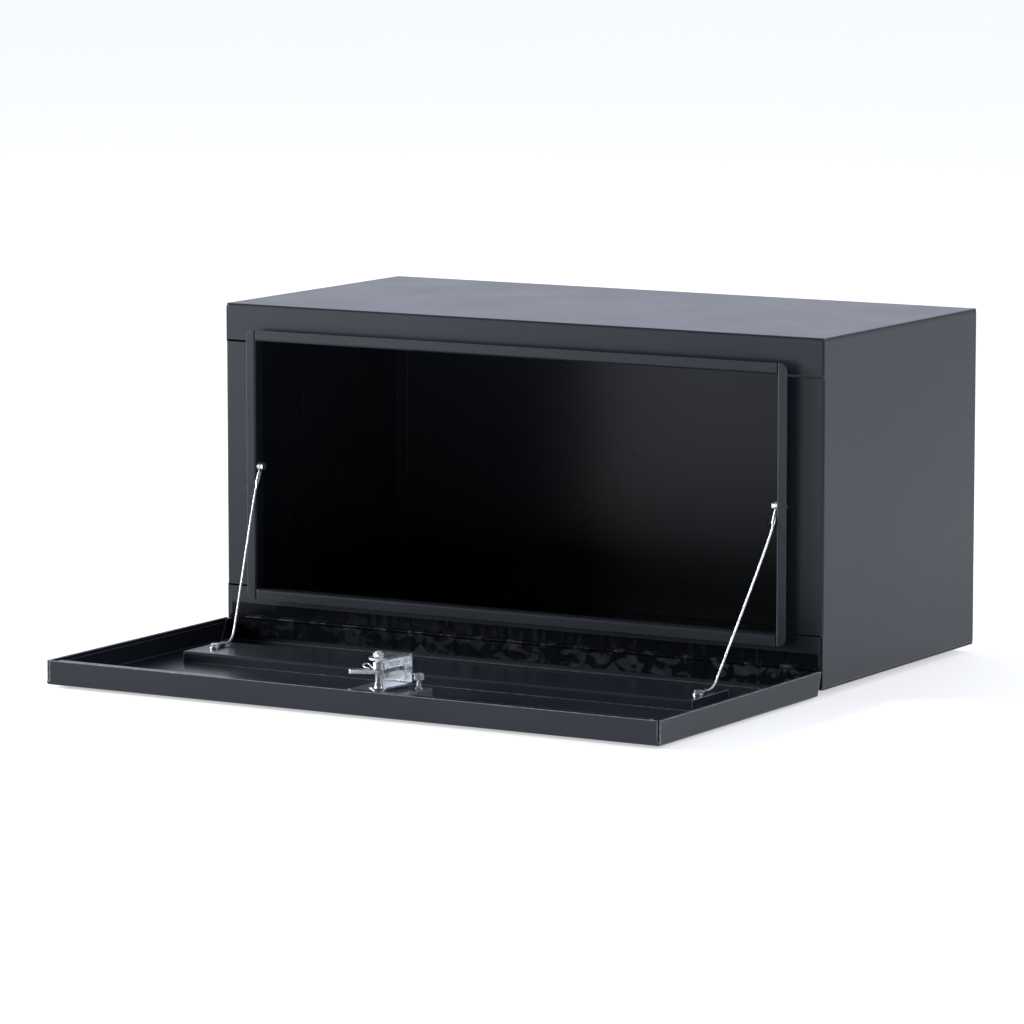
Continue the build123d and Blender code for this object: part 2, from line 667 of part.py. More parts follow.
def stop_nut():
    at = (STOP_X, door_y(STOP_REACH))
    low = STOP_NUT_BOTTOM
    nut = hexagon("Z", low, low + STOP_NUT_HEIGHT, 13.0, at)
    nut += along("Z", BRACKET_TOP, BRACKET_TOP + 1.4, 5.6, at)
    return nut - along("Z", 0, 60, STOP_RADIUS, at)


# ---------------------------------------------------------------- dish, handle and lock outside the door
def dish_screw_places():
    for quarter in range(4):
        angle = radians(45 + 90 * quarter)
        yield (
            SPINDLE_AT[0] + DISH_SCREW_CIRCLE * cos(angle),
            SPINDLE_AT[1] + DISH_SCREW_CIRCLE * sin(angle),
        )


def latch_dish():
    """Pressed round bowl whose rim lies under the skin."""
    rim_top = DOOR_BOTTOM - GASKET
    rim_bottom = rim_top - DISH_SHEET
    inner = DISH_RADIUS - DISH_SHEET
    dish = along("Z", rim_bottom, rim_top, DISH_RIM_RADIUS, SPINDLE_AT)
    dish = fillet(dish.edges().filter_by(GeomType.CIRCLE).sort_by(Axis.Z)[0], 0.9)
    bowl = along("Z", rim_bottom, DISH_TOP, DISH_RADIUS, SPINDLE_AT)
    bowl = fillet(bowl.edges().filter_by(GeomType.CIRCLE).sort_by(Axis.Z)[-1], 4.0)
    hollow = along("Z", rim_bottom - 1, DISH_TOP - DISH_SHEET, inner, SPINDLE_AT)
    hollow = fillet(hollow.edges().filter_by(GeomType.CIRCLE).sort_by(Axis.Z)[-1], 2.8)
    dish = dish + bowl - hollow
    dish -= along("Z", rim_bottom - 1, DISH_TOP + 1, DISH_SPINDLE_HOLE, SPINDLE_AT)
    for place in dish_screw_places():
        dish -= along("Z", rim_bottom - 1, rim_top + 1, DISH_SCREW_RADIUS, place)
    return dish


def dish_gasket():
    ring = along("Z", DOOR_BOTTOM - GASKET, DOOR_BOTTOM, DISH_RIM_RADIUS - 1, SPINDLE_AT)
    ring -= along("Z", DOOR_BOTTOM - 2, DOOR_BOTTOM + 1, DISH_HOLE_RADIUS + 0.3, SPINDLE_AT)
    for place in dish_screw_places():
        ring -= along("Z", DOOR_BOTTOM - 2, DOOR_BOTTOM + 1, DISH_SCREW_RADIUS + 0.2, place)
    return ring


def dish_screws():
    rim_bottom = DOOR_BOTTOM - GASKET - DISH_SHEET
    screws = []
    for place in dish_screw_places():
        screw = along("Z", rim_bottom, SKIN_TOP + 5.5, DISH_SCREW_RADIUS, place)
        head = along("Z", rim_bottom - 1.3, rim_bottom, 3.6, place)
        head = fillet(head.edges().filter_by(GeomType.CIRCLE).sort_by(Axis.Z)[0], 1.0)
        screws.append(screw + head)
    return screws


def dish_nuts():
    nuts = []
    for place in dish_screw_places():
        nut = hexagon("Z", SKIN_TOP, SKIN_TOP + 3.4, 7.0, place)
        nuts.append(nut - along("Z", SKIN_TOP - 1, SKIN_TOP + 8, DISH_SCREW_RADIUS, place))
    return nuts


PLUG_AT = (SPINDLE_AT[0], SPINDLE_AT[1] + PLUG_REACH)


def t_handle():
    """Folding T handle, lying flat in the dish: two cheeks, a stem and a cross bar.

    Its bar is on the hinge side, so it hangs below its pin once the door stands closed.
    """
    x, y = SPINDLE_AT
    tall = (HANDLE_BOTTOM, HANDLE_TOP)
    stem = block((x - STEM_HALF, x + STEM_HALF), (y + STEM_START, y + BAR_NEAR + 3), tall)
    bar = block((x - BAR_HALF, x + BAR_HALF), (y + BAR_NEAR, y + BAR_FAR), tall)
    bar = fillet(bar.edges().filter_by(Axis.Z), 4.0)
    bar = fillet(bar.faces().sort_by(Axis.Z)[0].edges(), 1.6)
    handle = stem + bar
    for side in (-1, 1):
        cheek = (x + side * (TONGUE_HALF + CHEEK_GAP), x + side * STEM_HALF)
        handle += block(cheek, (y, y + STEM_START + 1), tall)
        handle += along("X", *cheek, CHEEK_RADIUS, (y, HANDLE_PIVOT))
    handle -= along("X", x - 20, x + 20, HANDLE_PIN_RADIUS, (y, HANDLE_PIVOT))
    plug_top = HANDLE_BOTTOM + PLUG_DEPTH
    hole_radius = PLUG_RADIUS + TURN_CLEARANCE
    return handle - along("Z", HANDLE_BOTTOM - 1, plug_top, hole_radius, PLUG_AT)


def handle_pin():
    x, y = SPINDLE_AT
    return along("X", x - STEM_HALF, x + STEM_HALF, HANDLE_PIN_RADIUS, (y, HANDLE_PIVOT))


def lock_plug():
    x, y = PLUG_AT
    low = HANDLE_BOTTOM - 0.3
    plug = along("Z", low, HANDLE_BOTTOM + PLUG_DEPTH - 0.3, PLUG_RADIUS, PLUG_AT)
    width, length, depth = KEY_SLOT
    slot = block((x - width / 2, x + width / 2), (y - length / 2, y + length / 2), (low - 1, low + depth))
    return plug - slot


# ---------------------------------------------------------------- cable fittings and cables, right side
WALL_BACK = OPENING_HALF_WIDTH + SHEET
ANCHOR_AT = (FRONT - ANCHOR_FORWARD, ANCHOR_HEIGHT)
HEAD_OUTER = ANCHOR_HEAD_INNER + ANCHOR_HEAD_HEIGHT
EYE_NEAR = HEAD_OUTER + EYE_GAP
EYE_FAR = EYE_NEAR + EYE_THICKNESS
EYE_X = (EYE_NEAR + EYE_FAR) / 2
EYE_LEAN = atan2(BEND_TOP_REACH - ANCHOR_FORWARD, ANCHOR_HEIGHT - BEND_TOP_HEIGHT)


def down_from_eye(distance):
    """Point on the hanging line of the eye, a distance below the anchor bolt."""
    return Vector(
        EYE_X,
        ANCHOR_AT[0] - distance * sin(EYE_LEAN),
        ANCHOR_AT[1] - distance * cos(EYE_LEAN),
    )


def anchor_bolt():
    bolt = along("X", HEAD_OUTER, ANCHOR_BOLT_END, ANCHOR_BOLT_RADIUS, ANCHOR_AT)
    return bolt + hexagon("X", ANCHOR_HEAD_INNER, HEAD_OUTER, BOLT_FLATS, ANCHOR_AT)


def anchor_washer():
    washer = along("X", EYE_FAR + EYE_GAP, OPENING_HALF_WIDTH, WASHER_RADIUS, ANCHOR_AT)
    return washer - along("X", 380, 420, ANCHOR_BOLT_RADIUS, ANCHOR_AT)


def anchor_nut():
    nut = hexagon("X", WALL_BACK, WALL_BACK + NUT_HEIGHT, BOLT_FLATS, ANCHOR_AT)
    return nut - along("X", 380, 420, ANCHOR_BOLT_RADIUS, ANCHOR_AT)


def sleeve(start, end):
    """Crimped sleeve between two points."""
    axis = Plane(origin=start, z_dir=(end - start).normalized())
    body = extrude(axis * Circle(SLEEVE_RADIUS), (end - start).length)
    return chamfer(body.edges().filter_by(GeomType.CIRCLE), 0.5)


def cable_eye():
    """Ring that turns on the anchor bolt, with the crimped sleeve that holds the cable."""
    ring = along("X", EYE_NEAR, EYE_FAR, EYE_RADIUS, ANCHOR_AT)
    sleeve_end = down_from_eye(EYE_SLEEVE_START + SLEEVE_LENGTH)
    eye = ring + sleeve(down_from_eye(EYE_SLEEVE_START - 2), sleeve_end)
    keep = block((EYE_NEAR, EYE_FAR), (FRONT - 40, FRONT + 40), (ANCHOR_HEIGHT - 12, ANCHOR_HEIGHT + 12))
    near_ring = along("X", EYE_NEAR - 9, EYE_FAR + 9, EYE_RADIUS + 1.6, ANCHOR_AT)
    eye -= near_ring - keep
    return eye - along("X", 380, 420, ANCHOR_BOLT_RADIUS + 0.08, ANCHOR_AT)


def lug_at(lug_x):
    return (lug_x, door_y(LUG_REACH))


def cable_lug(lug_x):
    """Flat ring bolted to the stiffener, with a crimped sleeve towards the hinge."""
    x, y = lug_at(lug_x)
    top = STIFFENER_TOP + LUG_THICKNESS
    ring = along("Z", STIFFENER_TOP, top, LUG_RADIUS, (x, y))
    neck_ends = (y, y + LUG_SLEEVE_START + 3)
    neck = block((x - SLEEVE_RADIUS, x + SLEEVE_RADIUS), neck_ends, (STIFFENER_TOP, top))
    start = Vector(x, y + LUG_SLEEVE_START, LUG_SLEEVE_HEIGHT)
    lug = ring + neck + sleeve(start, start + Vector(0, LUG_SLEEVE_LENGTH, 0))
    lug -= block((x - 9, x + 9), (y, y + 40), (STIFFENER_TOP - 5, STIFFENER_TOP))
    return lug - along("Z", 0, 40, ANCHOR_BOLT_RADIUS, (x, y))


def lug_washer(lug_x):
    low = STIFFENER_TOP + LUG_THICKNESS
    washer = along("Z", low, low + LUG_WASHER, WASHER_RADIUS, lug_at(lug_x))
    return washer - along("Z", 0, 40, ANCHOR_BOLT_RADIUS, lug_at(lug_x))


def lug_bolt(lug_x):
    low = STIFFENER_TOP + LUG_THICKNESS + LUG_WASHER
    bolt = along("Z", 1.0, low, ANCHOR_BOLT_RADIUS, lug_at(lug_x))
    return bolt + hexagon("Z", low, low + LUG_HEAD_HEIGHT, BOLT_FLATS, lug_at(lug_x))


def lug_nut(lug_x):
    high = STIFFENER_TOP - SHEET
    nut = hexagon("Z", high - NUT_HEIGHT, high, BOLT_FLATS, lug_at(lug_x))
    return nut - along("Z", 0, 40, ANCHOR_BOLT_RADIUS, lug_at(lug_x))


def turn_at(before, here, after):
    """Degrees by which a route turns at a point."""
    return (here - before).get_angle(after - here)


def cable(lug_x):
    """Wire rope: taut from the eye to a round bend just behind the lug."""
    x, y = lug_at(lug_x)
    bend_y = door_y(BEND_TOP_REACH)
    sleeve_end = EYE_SLEEVE_START + SLEEVE_LENGTH
    route = [
        down_from_eye(sleeve_end),
        down_from_eye(sleeve_end + STRAIGHT_START),
        Vector(x + BEND_TOP_INWARD, bend_y, BEND_TOP_HEIGHT),
        Vector(x + BEND_TOP_INWARD / 2, bend_y - BEND_MIDDLE[0], BEND_MIDDLE[1]),
        Vector(x, bend_y - BEND_LENGTH, LUG_SLEEVE_HEIGHT),
        Vector(x, y + LUG_SLEEVE_START + LUG_SLEEVE_LENGTH, LUG_SLEEVE_HEIGHT),
    ]
    radii = []
    for before, here, after in zip(route, route[1:], route[2:]):
        shorter = min((here - before).length, (after - here).length)
        radii.append(0.45 * shorter / tan(radians(turn_at(before, here, after)) / 2))
    path = FilletPolyline(*route, radius=radii)
    start = Plane(origin=route[0], z_dir=(route[1] - route[0]).normalized())
    tube = sweep(start * Circle(CABLE_RADIUS), path=path)
    section = pi * CABLE_RADIUS**2
    print("cable bends", [round(r, 1) for r in radii], "length", round(path.length, 1))
    print("cable volume", round(tube.volume), "against", round(section * path.length))
    return tube


# ---------------------------------------------------------------- nodes
def pair(shape):
    return [shape, mirrored(shape)]


def lug_pair(maker):
    """The same fitting at each lug; the left one stands further out."""
    return [maker(RIGHT_LUG_X), mirrored(maker(LEFT_LUG_X))]


def build_nodes():
    right_side = side_panel()
    right_side -= along("X", 380, 420, ANCHOR_BOLT_RADIUS, ANCHOR_AT)
    right_eye = cable_eye()
    return {
        "top_panel": strip_panel(OPENING_TOP, BODY_HEIGHT, HEADER_BOTTOM_EDGE, 1),
        "bottom_panel": strip_panel(OPENING_BOTTOM, 0.0, STRIP_BOTTOM_EDGE, -1),
        "right_side_panel": right_side,
        "left_side_panel": mirrored(right_side),
        "back_panel": back_panel(),
        "hinge_box_leaf": hinge_box_leaf(),
        "hinge_door_leaf": hinge_door_leaf(),
        "hinge_pin": hinge_pin(),
        "door_pan": door_pan(),
        "door_stiffener": door_stiffener(),
        "latch_bracket": latch_bracket(),
        "latch_frame": latch_frame(),
        "frame_spacer": frame_spacer(),
        "spindle_collar": spindle_collar(),
        "spindle": spindle(),
        "spindle_nut": spindle_nut(),
        "cam_arm": cam_arm(),
        "torsion_spring": torsion_spring(),
        "stop_bolt": stop_bolt(),
        "stop_nut": stop_nut(),
        "latch_dish": latch_dish(),
        "dish_gasket": dish_gasket(),
        "dish_screws": dish_screws(),
        "dish_nuts": dish_nuts(),
        "t_handle": t_handle(),
        "handle_pin": handle_pin(),
        "lock_plug": lock_plug(),
        "anchor_bolts": pair(anchor_bolt()),
        "anchor_washers": pair(anchor_washer()),
        "anchor_nuts": pair(anchor_nut()),
        "right_cable_eye": right_eye,
        "left_cable_eye": mirrored(right_eye),
        "right_cable_lug": cable_lug(RIGHT_LUG_X),
        "left_cable_lug": mirrored(cable_lug(LEFT_LUG_X)),
        "lug_washers": lug_pair(lug_washer),
        "lug_bolts": lug_pair(lug_bolt),
        "lug_nuts": lug_pair(lug_nut),
        "right_cable": cable(RIGHT_LUG_X),
        "left_cable": mirrored(cable(LEFT_LUG_X)),
    }


os.makedirs("parts", exist_ok=True)
for name, shape in build_nodes().items():
    solids = shape if isinstance(shape, list) else [shape]
    whole = Compound(children=[s for item in solids for s in item.solids()])
    whole.label = name
    export_step(whole, f"parts/{name}.step")
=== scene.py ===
"""Look of the drop-door truck tool box: finishes, wire ropes, spring, light and camera.

Everything is in metres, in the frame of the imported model.
"""

import math

import bmesh
import bpy
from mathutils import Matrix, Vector


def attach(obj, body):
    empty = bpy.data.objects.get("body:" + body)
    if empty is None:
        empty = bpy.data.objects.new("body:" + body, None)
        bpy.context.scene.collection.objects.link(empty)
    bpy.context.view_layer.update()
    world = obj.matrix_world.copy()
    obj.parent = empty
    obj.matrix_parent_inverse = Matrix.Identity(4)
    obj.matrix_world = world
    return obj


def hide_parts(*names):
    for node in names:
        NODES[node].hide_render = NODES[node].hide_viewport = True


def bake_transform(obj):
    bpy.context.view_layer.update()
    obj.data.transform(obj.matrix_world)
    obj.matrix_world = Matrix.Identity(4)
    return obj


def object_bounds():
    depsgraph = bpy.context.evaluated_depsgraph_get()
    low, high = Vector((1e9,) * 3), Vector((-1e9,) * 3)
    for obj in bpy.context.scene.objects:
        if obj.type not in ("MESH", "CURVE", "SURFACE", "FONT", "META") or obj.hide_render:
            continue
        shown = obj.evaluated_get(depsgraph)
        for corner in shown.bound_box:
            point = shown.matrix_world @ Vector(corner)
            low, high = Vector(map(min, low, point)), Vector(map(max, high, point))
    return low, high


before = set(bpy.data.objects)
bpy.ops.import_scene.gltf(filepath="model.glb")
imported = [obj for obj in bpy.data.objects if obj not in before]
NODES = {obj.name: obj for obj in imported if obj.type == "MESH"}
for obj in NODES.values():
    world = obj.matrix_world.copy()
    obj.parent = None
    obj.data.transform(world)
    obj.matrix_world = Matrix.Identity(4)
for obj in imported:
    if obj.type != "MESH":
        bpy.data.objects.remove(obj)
CAD_BOX = [[float(v) for v in corner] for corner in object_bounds()]
SCENE = bpy.context.scene
FULL_TURN = 2 * math.pi
WHITE = (1.0, 1.0, 1.0)


def add_object(name, data):
    """A new object in the scene, holding a mesh, a curve, a light or a camera."""
    made = bpy.data.objects.new(name, data)
    bpy.context.collection.objects.link(made)
    return made


def add_piece(name, mesh, material):
    mesh.materials.append(material)
    return add_object(name, mesh)


# ---------------------------------------------------------------- camera
SENSOR_WIDTH = 36.0
LENS = 200.1
CAMERA_AT = (3.7728, -6.6733, 1.2243)
CAMERA_DIP = 0.136
CAMERA_TURN = 0.530


def place_camera():
    """Long lens, a little above the box and to the right of its front."""
    data = bpy.data.cameras.new("camera")
    data.sensor_width = SENSOR_WIDTH
    data.lens = LENS
    camera = add_object("camera", data)
    camera.location = CAMERA_AT
    camera.rotation_euler = (math.pi / 2 - CAMERA_DIP, 0.0, CAMERA_TURN)
    SCENE.camera = camera


place_camera()


# ---------------------------------------------------------------- finishes
BEVEL_SAMPLES = 6
EDGE_FULL = 0.72
EDGE_NONE = 0.998


class Finish:
    """A material, with short calls for the nodes it is made of."""

    def __init__(self, name, metallic=0.0, specular=0.5):
        self.material = bpy.data.materials.new(name)
        self.material.use_nodes = True
        self.tree = self.material.node_tree
        self.shader = self.tree.nodes["Principled BSDF"]
        self.shader.inputs["Metallic"].default_value = metallic
        self.shader.inputs["Specular IOR Level"].default_value = specular
        self.place = self.node("ShaderNodeTexCoord").outputs["Object"]

    def node(self, kind, **inputs):
        made = self.tree.nodes.new(kind)
        for key, value in inputs.items():
            self.feed(made.inputs[key.replace("_", " ")], value)
        return made

    def feed(self, socket, value):
        if isinstance(value, bpy.types.NodeSocket):
            self.tree.links.new(value, socket)
        else:
            socket.default_value = value

    def part(self, vector, letter):
        """One of the numbers of a vector."""
        return self.node("ShaderNodeSeparateXYZ", Vector=vector).outputs[letter]

    def stretched(self, scale):
        return self.node("ShaderNodeMapping", Vector=self.place, Scale=scale).outputs["Vector"]

    def noise(self, scale, detail=3.0, rough=0.5, place=None, distortion=0.0):
        made = self.node(
            "ShaderNodeTexNoise",
            Vector=place or self.place,
            Scale=scale,
            Detail=detail,
            Roughness=rough,
            Distortion=distortion,
        )
        return made.outputs["Fac"]

    def spread(self, value, low, high, to_low=0.0, to_high=1.0):
        """The value between low and high, carried to a new span and held at its ends."""
        made = self.tree.nodes.new("ShaderNodeMapRange")
        made.interpolation_type = "SMOOTHSTEP"
        for key, number in (
            ("From Min", low),
            ("From Max", high),
            ("To Min", to_low),
            ("To Max", to_high),
        ):
            made.inputs[key].default_value = number
        self.feed(made.inputs["Value"], value)
        return made.outputs["Result"]

    def calculate(self, operation, a, b=0.0):
        made = self.tree.nodes.new("ShaderNodeMath")
        made.operation = operation
        self.feed(made.inputs[0], a)
        self.feed(made.inputs[1], b)
        return made.outputs[0]

    def times(self, a, b):
        return self.calculate("MULTIPLY", a, b)

    def plus(self, a, b):
        return self.calculate("ADD", a, b)

    def mix(self, amount, a, b):
        """From colour a to colour b."""
        made = self.tree.nodes.new("ShaderNodeMix")
        made.data_type = "RGBA"
        self.feed(made.inputs[0], amount)
        for socket, colour in ((made.inputs[6], a), (made.inputs[7], b)):
            self.feed(socket, colour if isinstance(colour, bpy.types.NodeSocket) else (*colour, 1.0))
        return made.outputs[2]

    def bump(self, height, depth, strength=1.0, below=None):
        made = self.node("ShaderNodeBump", Height=height, Distance=depth, Strength=strength)
        if below is not None:
            self.feed(made.inputs["Normal"], below)
        return made.outputs["Normal"]

    def rounded(self, radius):
        """The normal of the shape with its sharp edges rounded."""
        bevel = self.node("ShaderNodeBevel", Radius=radius)
        bevel.samples = BEVEL_SAMPLES
        return bevel.outputs["Normal"]

    def edges(self, rounded, full=EDGE_FULL):
        """1 along outer and inner edges, 0 on flat faces."""
        shape = self.tree.nodes.new("ShaderNodeNewGeometry")
        dot = self.tree.nodes.new("ShaderNodeVectorMath")
        dot.operation = "DOT_PRODUCT"
        self.feed(dot.inputs[0], rounded)
        self.feed(dot.inputs[1], shape.outputs["Normal"])
        return self.spread(dot.outputs["Value"], full, EDGE_NONE, 1.0, 0.0)

    def finish(self, colour, rough, normal):
        self.feed(self.shader.inputs["Base Color"], colour)
        self.feed(self.shader.inputs["Roughness"], rough)
        self.feed(self.shader.inputs["Normal"], normal)
        return self.material


COAT_SOFTENING = 0.0009
# Colour of the lighter edges: worn coat, and painted highlight standing in for the glint off rounded sheet
# edges.
COAT_EDGE_WEAR_AND_HIGHLIGHT = (0.30, 0.31, 0.325)
SCUFF_COLOUR = (0.075, 0.077, 0.082)
SCUFF_TINT = 0.05
SCUFF_DULLNESS = 0.012
EDGE_WEAR_AND_HIGHLIGHT_TINT = 0.9
EDGE_WEAR_AND_HIGHLIGHT_LEAST = 0.5
COAT_GRAIN_DEPTH = 0.00004


def powder_coat(name, dark, light, smooth, dull, edge_wear_and_highlight=COAT_EDGE_WEAR_AND_HIGHLIGHT, edge_full=EDGE_FULL, soften=COAT_SOFTENING):
    """Baked powder: orange-peel grain, faint cloudiness, handling scuffs, and lighter edges that are partly
    worn coat and partly painted highlight.
    """
    f = Finish(name, specular=0.22)
    soft = f.rounded(soften)
    cloud = f.noise(scale=4.0, detail=4.0, rough=0.6)
    colour = f.mix(f.spread(cloud, 0.35, 0.65), dark, light)
    rubbing = f.noise(scale=5.0, detail=5.0, rough=0.7, place=f.stretched((6.0, 60.0, 45.0)))
    scuff = f.spread(rubbing, 0.64, 0.76)
    colour = f.mix(f.times(scuff, SCUFF_TINT), colour, SCUFF_COLOUR)
    # Lighter edges, broken up by noise: partly worn coat, partly painted highlight.
    edge_mark_gaps = f.spread(f.noise(scale=90.0, detail=4.0, rough=0.7), 0.45, 0.7)
    edge_mark_patchiness = f.plus(f.times(edge_mark_gaps, 1.0 - EDGE_WEAR_AND_HIGHLIGHT_LEAST), EDGE_WEAR_AND_HIGHLIGHT_LEAST)
    wear_and_highlight = f.times(f.edges(soft, edge_full), edge_mark_patchiness)
    colour = f.mix(f.times(wear_and_highlight, EDGE_WEAR_AND_HIGHLIGHT_TINT), colour, edge_wear_and_highlight)
    patch = f.spread(f.noise(scale=9.0, detail=5.0, rough=0.65), 0.3, 0.7, smooth, dull)
    rough = f.plus(patch, f.times(scuff, SCUFF_DULLNESS))
    grain = f.noise(scale=850.0, detail=2.0, rough=0.5)
    return f.finish(colour, rough, f.bump(grain, COAT_GRAIN_DEPTH, 0.35, soft))


GLOSS_BLACK = (0.004, 0.005, 0.007)
REFLECTION_LEFT_SHARE = 0.35
GLOSS_GRAIN_DEPTH = 0.00002


def rippled_gloss(name, ripple_depth, specular, reflection_colour):
    """Gloss paint on thin rolled strip, never quite flat; the lighter patches in its colour are painted
    reflections, stronger to the right.
    """
    f = Finish(name, specular=specular)
    streaks = f.stretched((0.9, 1.0, 1.3))
    patches = f.noise(scale=46.0, detail=1.0, rough=0.4, place=streaks, distortion=1.1)
    # Painted reflection: lighter patches in the colour, faint at the left end and strong at the right.
    strength = f.spread(f.part(f.place, "X"), -0.30, 0.38, REFLECTION_LEFT_SHARE, 1.0)
    painted_reflection = f.times(f.spread(patches, 0.48, 0.62), strength)
    colour = f.mix(painted_reflection, GLOSS_BLACK, reflection_colour)
    rough = f.spread(f.noise(scale=60.0, detail=4.0, rough=0.6), 0.3, 0.7, 0.10, 0.15)
    waves = f.stretched((1.0, 1.0, 0.5))
    ripple = f.noise(scale=42.0, detail=1.5, rough=0.45, place=waves, distortion=0.5)
    grain = f.bump(f.noise(scale=700.0, detail=2.0), GLOSS_GRAIN_DEPTH, 0.3)
    return f.finish(colour, rough, f.bump(ripple, ripple_depth, 1.0, grain))


PLATED_SOFTENING = 0.0006
SMUT_COLOUR = (0.30, 0.32, 0.35)
SMUT_TINT = 0.6
RUBBED_COLOUR = (0.93, 0.94, 0.95)
RUBBED_TINT = 0.5
THREAD_DEPTH_OF_PITCH = 0.2


def thread_height(f, low, high, pitch):
    """Ridges along Z between low and high, one to each pitch."""
    height = f.part(f.place, "Z")
    ridge = f.calculate("SINE", f.times(height, FULL_TURN / pitch))
    above = f.calculate("GREATER_THAN", height, low)
    below = f.calculate("LESS_THAN", height, high)
    return f.times(ridge, f.times(above, below))


def plated(name, pale, tint, smooth, dull, grain_depth=0.00004, thread=None, metallic=0.85):
    """Bright plating: blotchy tint, fine pits, rubbed edges and, on a shank, its thread."""
    f = Finish(name, metallic=metallic)
    soft = f.rounded(PLATED_SOFTENING)
    blotch = f.spread(f.noise(scale=70.0, detail=5.0, rough=0.65), 0.32, 0.68)
    colour = f.mix(blotch, pale, tint)
    smut = f.spread(f.noise(scale=240.0, detail=4.0, rough=0.7), 0.54, 0.70)
    colour = f.mix(f.times(smut, SMUT_TINT), colour, SMUT_COLOUR)
    colour = f.mix(f.times(f.edges(soft), RUBBED_TINT), colour, RUBBED_COLOUR)
    rough = f.spread(f.noise(scale=120.0, detail=5.0, rough=0.7), 0.3, 0.7, smooth, dull)
    normal = f.bump(f.noise(scale=900.0, detail=3.0, rough=0.6), grain_depth, 0.7, soft)
    if thread:
        low, high, pitch = thread
        ridges = thread_height(f, low, high, pitch)
        normal = f.bump(ridges, pitch * THREAD_DEPTH_OF_PITCH, 1.0, normal)
    return f.finish(colour, rough, normal)


def brushed_dish(name):
    """Polished stainless with fine rubbing marks."""
    f = Finish(name, metallic=1.0)
    marks = f.noise(scale=30.0, detail=5.0, rough=0.7, place=f.stretched((1.0, 40.0, 40.0)))
    colour = f.mix(f.spread(marks, 0.3, 0.7), (0.42, 0.42, 0.415), (0.54, 0.54, 0.535))
    rough = f.spread(marks, 0.3, 0.7, 0.24, 0.38)
    return f.finish(colour, rough, f.bump(marks, 0.00006, 0.6))


def seal_rubber(name):
    """Dull black rubber, a little mottled."""
    f = Finish(name, specular=0.35)
    mottle = f.noise(scale=60.0, detail=4.0)
    colour = f.mix(mottle, (0.018, 0.018, 0.018), (0.035, 0.035, 0.034))
    rough = f.spread(f.noise(scale=200.0), 0.3, 0.7, 0.62, 0.82)
    return f.finish(colour, rough, f.bump(f.noise(scale=1200.0), 0.00005, 0.8))


WIRES_AROUND = 42.0
WIRES_PER_METRE = 2200.0
WIRE_DEPTH = 0.00005
GRIME_TINT = 0.4


def wire_rope(name):
    """Galvanised wires: fine ridges run aslant over the strands, by the tube's own map."""
    f = Finish(name, metallic=1.0)
    tube = f.tree.nodes.new("ShaderNodeUVMap")
    tube.uv_map = "rope"
    around = f.times(f.part(tube.outputs["UV"], "X"), WIRES_AROUND)
    along = f.times(f.part(tube.outputs["UV"], "Y"), WIRES_PER_METRE)
    wires = f.calculate("SINE", f.times(f.plus(around, along), FULL_TURN))
    grime = f.spread(f.noise(scale=400.0, detail=4.0, rough=0.7), 0.5, 0.75)
    colour = f.mix(f.times(grime, GRIME_TINT), (0.84, 0.85, 0.87), (0.5, 0.51, 0.53))
    rough = f.spread(f.noise(scale=500.0), 0.3, 0.7, 0.24, 0.4)
    return f.finish(colour, rough, f.bump(wires, WIRE_DEPTH, 0.6))


DARK = (0.014, 0.018, 0.025)
LIGHT = (0.017, 0.021, 0.028)
# The latch bracket's coat is several times lighter than the same powder coat elsewhere: painted reflection
# of the light that its top catches.
BRACKET_REFLECTION_DARK = (0.10, 0.107, 0.122)
BRACKET_REFLECTION_LIGHT = (0.13, 0.138, 0.153)
# Near white along the door's edges: bare-metal wear and, mostly, painted highlight for the glint off its
# rounded rims.
DOOR_EDGE_WEAR_AND_HIGHLIGHT = (0.56, 0.57, 0.59)
ZINC_PALE = (0.80, 0.83, 0.88)
ZINC_TINT = (0.46, 0.51, 0.58)
THREAD_PALE = (0.84, 0.86, 0.89)
THREAD_TINT = (0.72, 0.75, 0.80)
CAST_PALE = (0.52, 0.53, 0.54)
CAST_TINT = (0.44, 0.45, 0.47)
CHROME_PALE = (0.86, 0.87, 0.88)
CHROME_TINT = (0.80, 0.81, 0.83)
SPRING_PALE = (0.78, 0.79, 0.82)
SPRING_TINT = (0.66, 0.67, 0.70)
# Each thread is its low end, its high end and its pitch.
SPINDLE_THREAD = (0.0545, 0.066, 0.0012)
BOLT_THREAD = (0.0, 0.04, 0.001)

COAT = powder_coat("powder_coat", DARK, LIGHT, 0.27, 0.30)
BRACKET_COAT_PAINTED_REFLECTION = powder_coat("bracket_coat_painted_reflection", BRACKET_REFLECTION_DARK, BRACKET_REFLECTION_LIGHT, 0.18, 0.23)
# The door's coat, whose wide bright edge band is painted highlight as well as wear.
DOOR_COAT_EDGE_HIGHLIGHT = powder_coat(
    "powder_coat_door_edge_highlight", DARK, LIGHT, 0.24, 0.27, edge_wear_and_highlight=DOOR_EDGE_WEAR_AND_HIGHLIGHT, edge_full=0.95, soften=0.0015
)
BOX_HINGE = rippled_gloss("gloss_black_box_leaf", ripple_depth=0.0016, specular=0.07, reflection_colour=GLOSS_BLACK)
DOOR_HINGE = rippled_gloss(
    "gloss_black_door_leaf_painted_reflection", ripple_depth=0.0026, specular=0.30, reflection_colour=(0.025, 0.028, 0.034)
)
ZINC = plated("zinc_plate", ZINC_PALE, ZINC_TINT, 0.24, 0.38, metallic=0.96)
ZINC_SHANK = plated("zinc_plate_thread", THREAD_PALE, THREAD_TINT, 0.3, 0.42, thread=SPINDLE_THREAD)
ZINC_BOLT = plated("zinc_plate_bolt", THREAD_PALE, THREAD_TINT, 0.3, 0.42, thread=BOLT_THREAD)
HANDLE = plated("cast_handle", CAST_PALE, CAST_TINT, 0.22, 0.34, grain_depth=0.00007)
